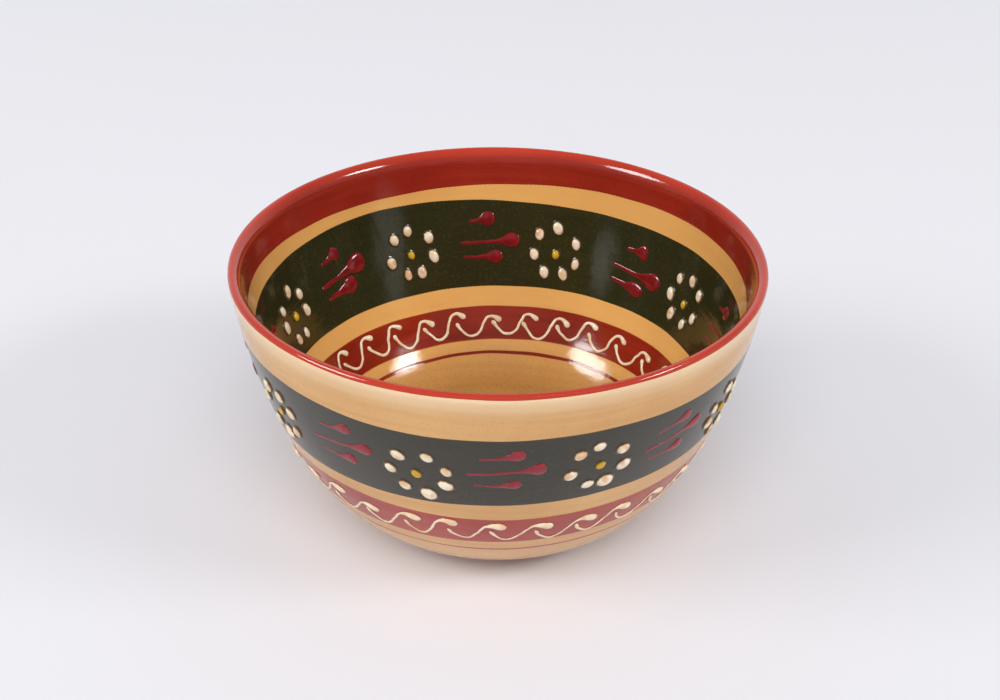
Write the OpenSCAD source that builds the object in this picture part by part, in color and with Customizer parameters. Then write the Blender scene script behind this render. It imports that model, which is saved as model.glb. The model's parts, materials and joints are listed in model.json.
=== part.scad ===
// Thrown earthenware bowl with painted slip bands and raised slip-trailed flowers, sprigs and scrolls.
// Z = 0 is the resting face of the foot and the bowl turns about the Z axis.

/* [Bowl] */
// Diameter across the outside of the lip
rim_d = 160; // [125:1:200]
// Height from the resting face to the top of the lip
bowl_h = 86; // [68:1:104]
// Wall thickness at the lip, slips included
wall_lip = 3.8; // [3:0.1:6]
// Wall thickness at the floor, slips included
wall_floor = 6; // [4.5:0.1:9]
// Lean of the wall just under the lip, in degrees from upright
lip_lean = 8; // [4:1:14]
// Straightness of the wall under the lip, in percent of the height
shoulder = 10; // [5:1:16]
// Fullness of the belly, in percent of the lip radius
belly = 85; // [76:1:92]
// Roundness of the underside, in millimetres above the foot
belly_lift = 4; // [2:0.5:8]

/* [Foot] */
// Outside diameter of the turned foot ring
foot_d = 76; // [60:1:92]
// Width of the foot ring on its resting face
foot_w = 6; // [4:0.5:10]
// Height that the foot lifts the wall above the resting face
foot_lift = 3; // [2:0.5:6]
// Depth of the recess turned inside the foot ring
recess_h = 1.5; // [0.8:0.1:2]
// Ease of the foot ring's corners
foot_ease = 0.8; // [0.3:0.1:1]
// Bare clay left between the ground slip and the foot ring
slip_stop = 3; // [1.5:0.5:6]

/* [Slips] */
// Thickness of the cream ground slip
ground_t = 0.25; // [0.15:0.05:0.5]
// Thickness of the brushed colour bands
band_t = 0.2; // [0.1:0.05:0.4]

/* [Outside bands, percent of the height below the lip] */
// Upper edge of the green band
out_green_a = 17.8; // [12:0.1:22]
// Lower edge of the green band
out_green_b = 48.7; // [44:0.1:51]
// Upper edge of the red scroll band
out_red_a = 55.7; // [53:0.1:60]
// Lower edge of the red scroll band
out_red_b = 70; // [66:0.1:73]
// Middle of the thin red line
out_line = 75.3; // [74:0.1:82]

/* [Inside bands, percent of the height below the lip] */
// Lower edge of the wide red rim band
in_lip = 14; // [10:0.1:16]
// Upper edge of the green band
in_green_a = 20.2; // [18:0.1:24]
// Lower edge of the green band
in_green_b = 54; // [48:0.1:56]
// Upper edge of the red scroll band
in_red_a = 61; // [58:0.1:64]
// Lower edge of the red scroll band
in_red_b = 73.2; // [69:0.1:75]
// Middle of the thin red line
in_line = 77.8; // [76:0.1:80]
// Width of both thin red lines
line_w = 0.9; // [0.5:0.1:1.5]

/* [Flowers and sprigs] */
// Flowers around the outside
out_flowers = 9; // [7:1:10]
// Flowers around the inside
in_flowers = 8; // [6:1:9]
// Petals in each flower
petals = 7; // [5:1:8]
// Width of a petal
petal_w = 3.4; // [2.6:0.1:4.2]
// Length of a petal
petal_l = 4.2; // [3:0.1:5]
// Lean of the petals, in degrees from upright
petal_tilt = 15; // [0:1:30]
// Diameter of the yellow centre dot
centre_d = 3; // [2:0.1:4]
// Clear band between a flower and the edges of its green band
flower_gap = 3.5; // [2:0.1:5]
// Width of a crimson stroke's round head
head_w = 4.4; // [3:0.1:5]
// Clear band between a sprig and the flowers beside it
sprig_gap = 6.2; // [4:0.1:8]
// Distance from the middle crimson stroke to the ones over and under it
sprig_pitch = 5.3; // [4.8:0.1:6.5]
// Height that petals and dots stand above the band
petal_h = 0.9; // [0.4:0.1:1.4]
// Height that the crimson strokes stand above the band
stroke_h = 0.45; // [0.2:0.05:0.8]
// Direction of the first flower outside, in degrees about Z
out_turn = -106.5; // [-180:0.5:180]
// Direction of the first flower inside, in degrees about Z
in_turn = 72; // [-180:0.5:180]

/* [Scrolls] */
// Wave strokes around the outside
out_scrolls = 33; // [26:1:36]
// Wave strokes around the inside
in_scrolls = 31; // [24:1:33]
// Height that the wave strokes stand above the band
scroll_h = 0.5; // [0.2:0.05:0.8]
// Width of a wave stroke
scroll_w = 0.95; // [0.6:0.05:1.4]
// Width of the blob that ends a wave stroke
blob_w = 2.2; // [1.4:0.1:3]

/* [Hidden] */
SIDES = ["outside", "inside"];
SCROLL_GROUPS = 3;

$fn = 96;
clay = "peru";
cream = "burlywood";
brick = "brown";
leaf = "darkslategray";
crimson = "crimson";
ivory = "ivory";
gold = "gold";

slips = ground_t + band_t;
lip_c = [rim_d / 2 - wall_lip / 2, bowl_h - wall_lip / 2];
lean_n = [cos(lip_lean), -sin(lip_lean)];
lean_t = [-sin(lip_lean), -cos(lip_lean)];

// Outer wall: one Bezier curve from the lip's side to where the underside meets the foot
foot_r = foot_d / 2;
wall_a = lip_c + wall_lip / 2 * lean_n;
wall_b = wall_a + bowl_h * shoulder / 100 * lean_t;
wall_c = [rim_d / 2 * belly / 100, foot_lift + belly_lift];
wall_d = [foot_r - foot_w / 4, foot_lift];

// Half-way steps of a search, which bring it under a thousandth of a millimetre
HALVINGS = 22;
// Straight steps in each stretch between two band edges, round the lip, and across the floor
STEPS = 4;
LIP_STEPS = 12;
FLOOR_STEPS = 8;
// Steps of the lip's round that stay cream on the outside
LIP_CREAM_STEPS = 2;
// How far a drop or stroke bites into the band under it
SINK = 0.05;
EPS = 1e-6;

function unit(v) = v / norm(v);
function outer_curve(t) = pow(1 - t, 3) * wall_a + 3 * pow(1 - t, 2) * t * wall_b
    + 3 * (1 - t) * t * t * wall_c + pow(t, 3) * wall_d;
function outer_slope(t) = unit(pow(1 - t, 2) * (wall_b - wall_a) + 2 * (1 - t) * t * (wall_c - wall_b)
    + t * t * (wall_d - wall_c));
function outer_normal(t) = let (s = outer_slope(t)) [-s[1], s[0]];
function wall_at(t) = wall_lip + (wall_floor - wall_lip) * t * t;

// A point of the finished wall, [radius, height], raised by lift out of that face
function wall_pt(side, t, lift) = side == "outside"
    ? outer_curve(t) + lift * outer_normal(t)
    : outer_curve(t) - (wall_at(t) + lift) * outer_normal(t);
// A point of the lip's round, where a is 0 level and outward and 90 at the top
function lip_pt(a, lift) = lip_c + (wall_lip / 2 + lift) * [cos(a), sin(a)];
// The floor is a shallow dish that leaves the inner wall without a corner; q is 1 at the wall, 0 at the axis
floor_edge = wall_pt("inside", 1, 0);
floor_slope = let (s = outer_slope(1)) s[1] / s[0];
function floor_pt(q, lift) = [floor_edge[0] * q, floor_edge[1] - floor_slope * floor_edge[0] / 2 * (1 - q * q)]
    + lift * unit([-floor_slope * q, 1]);

// Wall parameter at a depth below the lip, in millimetres
function t_at(side, depth, lo = 0, hi = 1, n = HALVINGS) = n == 0 ? (lo + hi) / 2
    : let (mid = (lo + hi) / 2)
      bowl_h - wall_pt(side, mid, 0)[1] < depth ? t_at(side, depth, mid, hi, n - 1) : t_at(side, depth, lo, mid, n - 1);
function t_at_percent(side, p) = t_at(side, bowl_h * p / 100);
// Wall parameter where the outer wall has come in to a radius
function t_at_radius(r, lo = 0.5, hi = 1, n = HALVINGS) = n == 0 ? (lo + hi) / 2
    : let (mid = (lo + hi) / 2)
      outer_curve(mid)[0] > r ? t_at_radius(r, mid, hi, n - 1) : t_at_radius(r, lo, mid, n - 1);

line_half = line_w / 2 / bowl_h * 100;
slip_end = t_at_radius(foot_r + slip_stop);
foot_top = t_at_radius(foot_r + foot_ease);
out_edges = concat([0], [for (p = [out_green_a, out_green_b, out_red_a, out_red_b,
    out_line - line_half, out_line + line_half]) t_at_percent("outside", p)], [slip_end, foot_top]);
in_edges = concat([0], [for (p = [in_lip, in_green_a, in_green_b, in_red_a, in_red_b,
    in_line - line_half, in_line + line_half]) t_at_percent("inside", p)], [1]);
// Numbers of the edges at which each side's bands begin
green_edge = [1, 2];
red_edge = [3, 4];
line_edge = [5, 6];

function fill(edges) = concat([for (i = [0:len(edges) - 2], k = [0:STEPS - 1])
    edges[i] + (edges[i + 1] - edges[i]) * k / STEPS], [edges[len(edges) - 1]]);
out_ts = fill(out_edges);
in_ts = fill(in_edges);
function side_no(side) = side == "outside" ? 0 : 1;
function edges_of(side) = side == "outside" ? out_edges : in_edges;
function reversed(v) = [for (i = [len(v) - 1:-1:0]) v[i]];

// The finished faces as runs of section points, each raised by lift
function wall_face(side, a, b, lift) = [for (t = side == "outside" ? out_ts : in_ts)
    if (t > a - EPS && t < b + EPS) wall_pt(side, t, lift)];
function lip_face(from, lift) = [for (i = [from:LIP_STEPS - 1]) lip_pt(-lip_lean + 180 * i / LIP_STEPS, lift)];
function floor_face(lift) = [for (i = [FLOOR_STEPS - 1:-1:0]) floor_pt(i / FLOOR_STEPS, lift)];
function inner_face(lift) = concat(wall_face("inside", 0, 1, lift), floor_face(lift));
function outer_face(end, lift) = concat([wall_pt("inside", 0, lift)], reversed(lip_face(1, lift)),
    wall_face("outside", 0, end, lift));
function rim_face(lift) = concat(lip_face(LIP_CREAM_STEPS, lift), wall_face("inside", 0, in_edges[1], lift));

module turn(outline) rotate_extrude($fn = 180) polygon(outline);

// Thrown wall and floor, with the foot ring and its recess turned out of the same clay
module clay_body() {
    ease = foot_ease;
    inner_r = foot_r - foot_w;
    foot = [[foot_r, outer_curve(foot_top)[1] - ease], [foot_r - ease / 2, ease / 2], [foot_r - ease, 0],
        [inner_r, 0], [inner_r - ease, recess_h - ease / 2], [inner_r - 2 * ease, recess_h], [0, recess_h]];
    color(clay) turn(concat(reversed(inner_face(-slips)), outer_face(foot_top, -slips), foot));
}

// Cream ground slip, poured over the clay inside and out and stopped just above the foot
module ground_slip(side) color(cream) {
    if (side == "outside") turn(concat(outer_face(slip_end, -band_t), reversed(outer_face(slip_end, -slips))));
    else turn(concat(inner_face(-band_t), reversed(inner_face(-slips))));
}

// Red slip of the rim, from the outer shoulder of the lip over it and down the inside
module lip_band() color(brick) turn(concat(rim_face(0), reversed(rim_face(-band_t))));

// A brushed colour band that starts at one of its side's numbered edges
module band(side, first, shade) {
    a = edges_of(side)[first[side_no(side)]];
    b = edges_of(side)[first[side_no(side)] + 1];
    color(shade) turn(concat(wall_face(side, a, b, 0), reversed(wall_face(side, a, b, -band_t))));
}

// Middle of a band: its wall parameter, the radius there, and the width of the band up the wall
function band_mid_depth(side, first) = let (e = edges_of(side), i = first[side_no(side)])
    bowl_h - (wall_pt(side, e[i], 0)[1] + wall_pt(side, e[i + 1], 0)[1]) / 2;
function band_width(side, first) = let (e = edges_of(side), i = first[side_no(side)])
    norm(wall_pt(side, e[i], 0) - wall_pt(side, e[i + 1], 0));
// A place on a band, along and up from a point of its middle line: [direction about Z, wall parameter].
// Along runs to the right as seen from that face.
function place(side, first, angle, along, up) = let (
    depth = band_mid_depth(side, first),
    t = t_at(side, depth),
    sign = side == "outside" ? 1 : -1,
    t_up = t_at(side, depth + up * outer_slope(t)[1]))
    [angle + sign * along / wall_pt(side, t_up, 0)[0] * 180 / PI, t_up];

// A place on a band as a point in space, raised by lift out of the face
function on_band(side, first, angle, along, up, lift) = let (
    spot = place(side, first, angle, along, up),
    p = wall_pt(side, spot[1], lift))
    [p[0] * cos(spot[0]), p[0] * sin(spot[0]), p[1]];

// An egg-shaped drop of slip, bedded a little into the green band: rings of [share of its size, lift] and a top
module drop(side, angle, along, up, wide, tall, tilt) {
    sides = 10;
    rings = [[1, -SINK], [0.93, 0.45 * petal_h], [0.6, 0.85 * petal_h]];
    rim = [for (r = rings, k = [0:sides - 1]) let (
        x = r[0] * wide / 2 * cos(k * 360 / sides),
        y = r[0] * tall / 2 * sin(k * 360 / sides))
        on_band(side, green_edge, angle, along + x * cos(tilt) - y * sin(tilt),
            up + x * sin(tilt) + y * cos(tilt), r[1])];
    top = on_band(side, green_edge, angle, along, up, petal_h);
    walls = [for (i = [0:len(rings) - 2], k = [0:sides - 1], half = [0, 1])
        let (a = i * sides + k, b = i * sides + (k + 1) % sides)
        half == 0 ? [a, a + sides, b + sides] : [a, b + sides, b]];
    last = (len(rings) - 1) * sides;
    cap = [for (k = [0:sides - 1]) [last + k, len(rim), last + (k + 1) % sides]];
    base = [for (k = [1:sides - 2]) [0, k, k + 1]];
    polyhedron(concat(rim, [top]), concat(walls, cap, base), convexity = 3);
}

function flower_count(side) = side == "outside" ? out_flowers : in_flowers;
function flower_step(side) = 360 / flower_count(side);
function flower_angle(side, i) = (side == "outside" ? out_turn : in_turn) + (i - 1) * flower_step(side);
// Radius of the ring that the petals' middles lie on
function flower_r(side) = band_width(side, green_edge) / 2 - flower_gap - petal_l / 2;

// The ring of petals of one flower
module flower(side, i) {
    r = flower_r(side);
    color(ivory) for (k = [0:petals - 1]) {
        a = 90 + k * 360 / petals;
        drop(side, flower_angle(side, i), r * cos(a), r * sin(a), petal_w, petal_l, petal_tilt);
    }
}

module flower_centres(side)
    color(gold) for (i = [1:flower_count(side)])
        drop(side, flower_angle(side, i), 0, 0, centre_d, centre_d, 0);

// A trailed stroke along a run of stations, each [along, up, half width, height], laid on a band
module trail(side, first, angle, stations) {
    last = len(stations) - 1;
    across = [for (i = [0:last]) let (d = unit([for (c = [0, 1])
        stations[min(i + 1, last)][c] - stations[max(i - 1, 0)][c]])) [-d[1], d[0]]];
    section = [[1, 0], [0.6, 1], [-0.6, 1], [-1, 0]];
    m = len(section);
    points = [for (i = [0:last], s = section) let (st = stations[i], w = st[2] * s[0])
        on_band(side, first, angle, st[0] + w * across[i][0], st[1] + w * across[i][1],
            s[1] == 0 ? -SINK : st[3])];
    walls = [for (i = [0:last - 1], j = [0:m - 1], half = [0, 1])
        let (a = i * m + j, b = a + m, c = (i + 1) * m + (j + 1) % m, d = c - m)
        half == 0 ? [a, b, c] : [a, c, d]];
    ends = [[0, 1, 2], [0, 2, 3], [last * m + 2, last * m + 1, last * m], [last * m + 3, last * m + 2, last * m]];
    polyhedron(points, concat(walls, ends), convexity = 6);
}

// One crimson brush drop: a thin tail that swells into a round head
module brush_drop(side, angle, from, up, long, head) {
    steps = 8;
    tail = 0.14 * head;
    swell_at = 0.55;
    trail(side, green_edge, angle, [for (k = [0:steps]) let (
        f = k / steps,
        x = max(0, (f - swell_at) / (1 - swell_at)),
        w = tail + (head / 2 - tail) * sin(180 * min(1, pow(x, 1.3))))
        [from + long * f, up, w, stroke_h * (0.5 + w / head)]]);
}

// Three crimson drops side by side, half-way between two flowers
module sprig(side, i) {
    angle = flower_angle(side, i) + flower_step(side) / 2;
    mid_r = wall_pt(side, t_at(side, band_mid_depth(side, green_edge)), 0)[0];
    flower_w = 2 * flower_r(side) + petal_w;
    long = 2 * PI * mid_r / flower_count(side) - flower_w - 2 * sprig_gap;
    color(crimson) {
        brush_drop(side, angle, -0.35 * long, sprig_pitch, 0.6 * long, 0.92 * head_w);
        brush_drop(side, angle, -0.5 * long, 0, long, head_w);
        brush_drop(side, angle, -0.42 * long, -sprig_pitch, 0.66 * long, 0.88 * head_w);
    }
}

function bezier(p, f) = pow(1 - f, 3) * p[0] + 3 * pow(1 - f, 2) * f * p[1] + 3 * (1 - f) * f * f * p[2]
    + pow(f, 3) * p[3];

// One wave stroke: down from a thin start, up over a crest, and into a round blob
module wave(side, angle, pitch) {
    steps = 12;
    high = band_width(side, red_edge);
    bend = [[-0.7 * pitch, 0.03 * high], [-0.3 * pitch, -1.25 * high], [0, 0.85 * high], [0.7 * pitch, 0.12 * high]];
    blob_at = 0.8;
    color(ivory) trail(side, red_edge, angle, [for (k = [0:steps]) let (
        f = k / steps,
        p = bezier(bend, f),
        x = max(0, (f - blob_at) / (1 - blob_at)),
        w = (scroll_w + (blob_w - scroll_w) * sin(180 * x * x)) / 2)
        [p[0], p[1], w, scroll_h * (0.7 + 0.3 * x)]]);
}

// A share of one side's wave strokes, so that each node stays small
module scrolls(side, group) {
    count = side == "outside" ? out_scrolls : in_scrolls;
    t = t_at(side, band_mid_depth(side, red_edge));
    pitch = 2 * PI * wall_pt(side, t, 0)[0] / count;
    first = floor((group - 1) * count / SCROLL_GROUPS);
    past = floor(group * count / SCROLL_GROUPS);
    for (i = [first:past - 1]) wave(side, i * 360 / count, pitch);
}

clay_body();
lip_band();
for (side = SIDES) {
    ground_slip(side);
    band(side, green_edge, leaf);
    band(side, red_edge, brick);
    band(side, line_edge, brick);
    flower_centres(side);
    for (i = [1:flower_count(side)]) {
        flower(side, i);
        sprig(side, i);
    }
    for (g = [1:SCROLL_GROUPS])
        scrolls(side, g);
}
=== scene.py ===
import json
import math
import bmesh
import bpy
import numpy as np
from mathutils import Matrix, Vector


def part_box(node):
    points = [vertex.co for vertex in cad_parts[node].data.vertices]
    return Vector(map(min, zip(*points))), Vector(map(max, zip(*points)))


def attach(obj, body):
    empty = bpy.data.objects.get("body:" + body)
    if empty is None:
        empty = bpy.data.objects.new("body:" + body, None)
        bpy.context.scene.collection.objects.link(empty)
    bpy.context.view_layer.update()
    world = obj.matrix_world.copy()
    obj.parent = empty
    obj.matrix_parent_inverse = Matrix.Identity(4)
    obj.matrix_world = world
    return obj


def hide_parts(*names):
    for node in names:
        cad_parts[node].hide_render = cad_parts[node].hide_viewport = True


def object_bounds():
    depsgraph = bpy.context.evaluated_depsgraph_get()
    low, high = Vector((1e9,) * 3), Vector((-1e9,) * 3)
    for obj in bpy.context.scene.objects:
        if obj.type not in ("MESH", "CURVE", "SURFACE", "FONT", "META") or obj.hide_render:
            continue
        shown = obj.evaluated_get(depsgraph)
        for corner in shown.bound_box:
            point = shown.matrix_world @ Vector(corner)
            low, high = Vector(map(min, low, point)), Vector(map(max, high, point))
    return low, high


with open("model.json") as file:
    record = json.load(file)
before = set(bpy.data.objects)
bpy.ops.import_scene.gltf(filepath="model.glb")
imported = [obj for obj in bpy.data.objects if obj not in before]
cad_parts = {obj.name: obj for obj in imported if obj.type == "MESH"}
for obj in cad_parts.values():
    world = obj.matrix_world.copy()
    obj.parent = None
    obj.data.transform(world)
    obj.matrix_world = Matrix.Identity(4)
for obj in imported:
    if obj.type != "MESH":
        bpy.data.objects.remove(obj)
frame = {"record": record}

cadLow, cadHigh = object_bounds()
mm = 0.001


# the bowl's section, worked out from the CAD boxes

bowl = dict(
    groundSlip=0.25 * mm,
    bandSlip=0.2 * mm,
    wallLip=3.8 * mm,
    wallFloor=6 * mm,
    lipLean=math.radians(8),
    lipCrest=0.7 * mm,  # the lip's crest lies this far outside the middle of the wall
    lipEase=2.6 * mm,  # and its inner side is eased down to this far below the round's middle
    shoulder=0.10,  # share of the height
    belly=0.85,  # share of the lip's radius
    bellyLift=4 * mm,
    footWidth=6 * mm,
    footLift=3 * mm,
    footEase=0.8 * mm,
    recess=1.5 * mm,
    slipStop=3 * mm,
    rise=0.015 * mm,  # all that a band stands above the ground once the glaze has run level
    wallSteps=500,
    lipSteps=(25, 41),  # up its outer side, down its inner side
    floorSteps=60,
)
slips = bowl["groundSlip"] + bowl["bandSlip"]
rimRadius = cadHigh.x + bowl["bandSlip"]
bowlHeight = cadHigh.z
footMount = next(m for m in frame["record"]["mounts"] if m["name"] == "foot")
footRadius = footMount["pos_m"][0] + (bowl["footWidth"] + bowl["footEase"]) / 2


def unit(rows):
    return rows / np.linalg.norm(rows, axis=1)[:, None]


def makeSection():  # one line from the foot up the outside, over the lip and down to the middle of the floor
    halfLip, crest, ease = bowl["wallLip"] / 2, bowl["lipCrest"], bowl["lipEase"]
    lipCentre = np.array([rimRadius - halfLip, bowlHeight - halfLip])
    lean = bowl["lipLean"]
    out = np.array([math.cos(lean), -math.sin(lean)])
    down = np.array([-math.sin(lean), -math.cos(lean)])

    a = lipCentre + halfLip * out
    b = a + bowlHeight * bowl["shoulder"] * down
    c = np.array([rimRadius * bowl["belly"], bowl["footLift"] + bowl["bellyLift"]])
    d = np.array([footRadius - bowl["footWidth"] / 4, bowl["footLift"]])
    t = np.linspace(0, 1, bowl["wallSteps"])[:, None]
    wall = (1 - t) ** 3 * a + 3 * (1 - t) ** 2 * t * b + 3 * (1 - t) * t * t * c + t**3 * d
    slope = unit((1 - t) ** 2 * (b - a) + 2 * (1 - t) * t * (c - b) + t * t * (d - c))
    normal = np.stack([-slope[:, 1], slope[:, 0]], 1)
    thick = bowl["wallLip"] + (bowl["wallFloor"] - bowl["wallLip"]) * t * t
    keep = wall[:, 0] > footRadius + bowl["footEase"]
    outer, outerNormal = wall[keep][::-1], normal[keep][::-1]

    up = np.linspace(0, math.pi / 2, bowl["lipSteps"][0])[1:]
    over = np.linspace(math.pi / 2, math.pi, bowl["lipSteps"][1])[1:-1]
    across = np.concatenate([(halfLip - crest) * np.cos(up), (halfLip + crest) * np.cos(over)]) + crest
    above = np.concatenate([halfLip * np.sin(up), (halfLip + ease) * np.sin(over) - ease])
    lip = lipCentre + across[:, None] * out - above[:, None] * down
    along = unit(np.gradient(lip, axis=0))
    lipNormal = np.stack([along[:, 1], -along[:, 0]], 1)

    inner, innerNormal = wall - thick * normal, -normal
    belowLip = (inner - lipCentre) @ down > ease
    inner, innerNormal = inner[belowLip], innerNormal[belowLip]
    edge, tilt = inner[-1], slope[-1][1] / slope[-1][0]
    q = np.linspace(1, 0, bowl["floorSteps"])[1:, None]
    floor = np.hstack([edge[0] * q, edge[1] - tilt * edge[0] / 2 * (1 - q * q)])
    floorNormal = unit(np.hstack([-tilt * q, np.ones_like(q)]))

    points = np.vstack([outer, lip, inner, floor])
    normals = np.vstack([outerNormal, lipNormal, innerNormal, floorNormal])
    run = np.concatenate([[0], np.cumsum(np.linalg.norm(np.diff(points, axis=0), axis=1))])
    top = len(outer) + int(np.argmax(lip[:, 1]))
    return points, normals, run, run[top], run[-1 - len(floor)]


sectionPoints, sectionNormals, sectionRun, lipTop, floorStart = makeSection()
sectionEnd = sectionRun[-1]


def sectionAt(station, lift):  # radius and height at a distance along the section, raised out of the face
    r, z = (np.interp(station, sectionRun, column) for column in sectionPoints.T)
    outward, upward = (np.interp(station, sectionRun, column) for column in sectionNormals.T)
    return r + lift * outward, z + lift * upward


def stationOf(side, height):  # distance along the section at which one face passes a height
    part = sectionRun <= lipTop if side == "outside" else (sectionRun >= lipTop) & (sectionRun <= floorStart)
    z, run = sectionPoints[part, 1], sectionRun[part]
    order = np.argsort(z)
    return float(np.interp(height, z[order], run[order]))


def stationAtRadius(radius):  # distance along the section at which the underside has come in to a radius
    part = sectionRun < lipTop / 2
    return float(np.interp(radius, sectionPoints[part, 0], sectionRun[part]))


print("section", round(sectionEnd, 4), "m long, lip top at", round(lipTop, 4))


# small helpers for node trees

def addNode(tree, kind, values=(), **settings):
    node = tree.nodes.new(kind)
    for key, value in settings.items():
        setattr(node, key, value)
    for key, value in dict(values).items():
        setSocket(tree, node.inputs[key], value)
    return node


def setSocket(tree, socket, value):
    if isinstance(value, bpy.types.NodeSocket):
        tree.links.new(value, socket)
    else:
        socket.default_value = value


def doMath(tree, operation, a, b=0.0, c=0.0, clamp=False):
    node = addNode(tree, "ShaderNodeMath", {0: a, 1: b, 2: c}, operation=operation, use_clamp=clamp)
    return node.outputs[0]


def times(tree, a, b, plus=None, clamp=False):
    if plus is None:
        return doMath(tree, "MULTIPLY", a, b, clamp=clamp)
    return doMath(tree, "MULTIPLY_ADD", a, b, plus, clamp)


def doVector(tree, operation, a, b=(0, 0, 0), scale=1.0):
    values = {0: a, "Scale": scale} if operation == "SCALE" else {0: a, 1: b}
    return addNode(tree, "ShaderNodeVectorMath", values, operation=operation).outputs["Vector"]


def vectorOf(tree, x=0.0, y=0.0, z=0.0):
    return addNode(tree, "ShaderNodeCombineXYZ", {"X": x, "Y": y, "Z": z}).outputs[0]


def partsOf(tree, vector):
    node = addNode(tree, "ShaderNodeSeparateXYZ", {"Vector": vector})
    return node.outputs["X"], node.outputs["Y"], node.outputs["Z"]


def remap(tree, value, fromLow, fromHigh, toLow=0.0, toHigh=1.0, smooth=False):
    ends = {"From Min": fromLow, "From Max": fromHigh, "To Min": toLow, "To Max": toHigh}
    node = addNode(tree, "ShaderNodeMapRange", {"Value": value, **ends},
        interpolation_type="SMOOTHSTEP" if smooth else "LINEAR")
    return node.outputs["Result"]


def noiseAt(tree, place, scale, detail, roughness=0.5):
    return addNode(tree, "ShaderNodeTexNoise", {"Vector": place, "Scale": scale, "Detail": detail,
        "Roughness": roughness}).outputs["Fac"]


def objectPlace(tree):
    return tree.nodes.new("ShaderNodeTexCoord").outputs["Object"]


def mixColours(tree, factor, a, b):
    node = addNode(tree, "ShaderNodeMix", data_type="RGBA")
    slots = [s for s in node.inputs if s.type == "RGBA"]
    for socket, value in zip([node.inputs[0]] + slots, (factor, a, b)):
        setSocket(tree, socket, value)
    return next(s for s in node.outputs if s.type == "RGBA")


socketKinds = {float: "Float", int: "Int", tuple: "Color"}


def openTree(name, kind, inputs, outputs):  # an input comes with its first value, or with its kind in words
    tree = bpy.data.node_groups.new(name, kind)
    for label, value in inputs.items():
        inWords = isinstance(value, str)
        socketType = "NodeSocket" + (value if inWords else socketKinds[type(value)])
        socket = tree.interface.new_socket(label, in_out="INPUT", socket_type=socketType)
        if not inWords:
            socket.default_value = value
    for label, value in outputs.items():
        tree.interface.new_socket(label, in_out="OUTPUT", socket_type="NodeSocket" + value)
    return tree, tree.nodes.new("NodeGroupInput").outputs, tree.nodes.new("NodeGroupOutput").inputs


# shader groups that the glazed slips share

glaze = dict(
    waveScale=90.0,
    peelScale=420.0,
    peel=0.12,  # height of the orange peel beside that of the waves
    grainScale=2400.0,
    lineStretch=(9.0, 9.0, 700.0),  # turning lines run round the bowl
    filmScale=60.0,
    film=(0.75, 1.45),  # where the surface is sharper or duller than its roughness says
    pitCells=260.0,
    pitSize=0.085,
    pitRarity=0.93,
    pitDullness=0.3,
    strength=0.35,
    depth=0.25 * mm,
)
brush = dict(
    flatten=(0.035, 0.035, 1.0),  # streaks are drawn out round the bowl
    warpScale=14.0,
    warp=4 * mm,
    cloudScale=32.0,
    fineScale=1500.0,
    fineShare=0.5,
    speckCells=330.0,
    speckSize=0.09,
    speckRarity=0.88,
)


def scatterDots(tree, place, scale, size, rarity):  # a round spot in a few of the cells
    cells = addNode(tree, "ShaderNodeTexVoronoi", {"Vector": place, "Scale": scale})
    draw = addNode(tree, "ShaderNodeTexWhiteNoise", {"Vector": cells.outputs["Position"]}).outputs["Value"]
    spot = remap(tree, cells.outputs["Distance"], times(tree, draw, size), 0.0, smooth=True)
    return times(tree, spot, doMath(tree, "GREATER_THAN", draw, rarity))


def makeGlazeGroup():  # how the clear glaze lies: gentle waves, turning lines and a few pits
    tree, given, result = openTree("glazeLie", "ShaderNodeTree",
        {"Waves": 0.35, "Turning Lines": 0.3, "Grain": 0.08, "Pits": 0.5, "Roughness": 0.1},
        {"Normal": "Vector", "Roughness": "Float"})
    place = objectPlace(tree)
    waves = noiseAt(tree, place, glaze["waveScale"], 2.0, 0.4)
    peel = noiseAt(tree, place, glaze["peelScale"], 1.0)
    grain = noiseAt(tree, place, glaze["grainScale"], 1.0)
    lines = noiseAt(tree, doVector(tree, "MULTIPLY", place, glaze["lineStretch"]), 1.0, 3.0)
    pit = scatterDots(tree, place, glaze["pitCells"], glaze["pitSize"], glaze["pitRarity"])
    height = times(tree, times(tree, peel, glaze["peel"], waves), given["Waves"])
    height = times(tree, grain, given["Grain"], height)
    height = times(tree, lines, given["Turning Lines"], height)
    height = doMath(tree, "SUBTRACT", height, times(tree, pit, given["Pits"]))
    bump = addNode(tree, "ShaderNodeBump", {"Height": height, "Strength": glaze["strength"],
        "Distance": glaze["depth"]})
    tree.links.new(bump.outputs["Normal"], result["Normal"])
    film = remap(tree, noiseAt(tree, place, glaze["filmScale"], 3.0), 0.3, 0.7, *glaze["film"])
    dull = times(tree, pit, glaze["pitDullness"], times(tree, film, given["Roughness"]))
    tree.links.new(dull, result["Roughness"])
    return tree


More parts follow.
